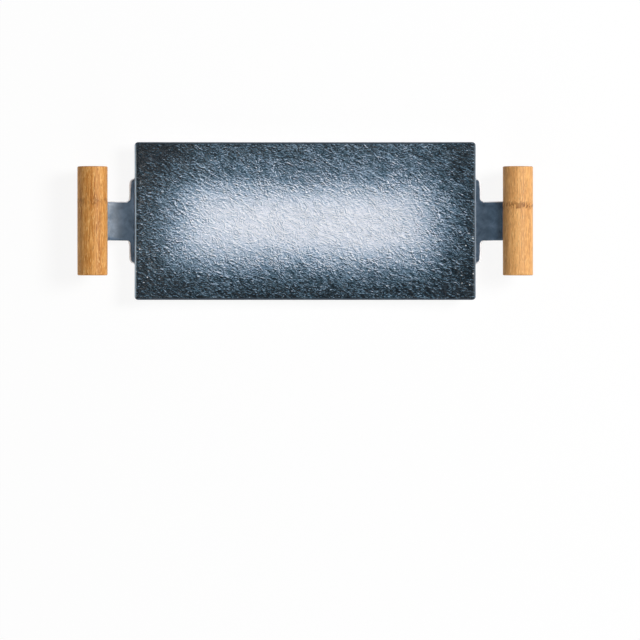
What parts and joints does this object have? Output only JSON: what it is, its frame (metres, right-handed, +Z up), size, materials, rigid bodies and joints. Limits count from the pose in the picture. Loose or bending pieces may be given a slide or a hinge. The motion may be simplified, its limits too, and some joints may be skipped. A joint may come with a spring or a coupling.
{
  "type": "sushi plate",
  "caption": "Shallow rectangular stoneware serving plate with upswept ends, slate-blue glaze fading to a pale middle, a low hollow foot and round bamboo bar handles glued onto sloping end lugs.",
  "frame": {"origin": "on the table, below the middle of the plate", "axes": "+X along the plate towards the right handle, +Y across the plate towards its back rim, +Z up"},
  "size_m": [0.36, 0.125, 0.0388],
  "materials": {
    "white_stoneware": "glossy white glaze on the edge, underside and foot; smooth slate-blue glaze on top of the lugs",
    "slate_glaze": "glossy wrinkled reactive glaze, dark slate blue at the rim and pale lavender-white in the middle",
    "bamboo": "satin oiled bamboo with fine grain along the bar and a darker node ring",
    "clear_glue": "set epoxy, satin"
  },
  "bodies": {
    "root": {"plate_body": "white_stoneware", "dish_glaze": "slate_glaze", "left_handle": "bamboo", "right_handle": "bamboo", "left_glue": "clear_glue", "right_glue": "clear_glue"}
  },
  "joints": []
}
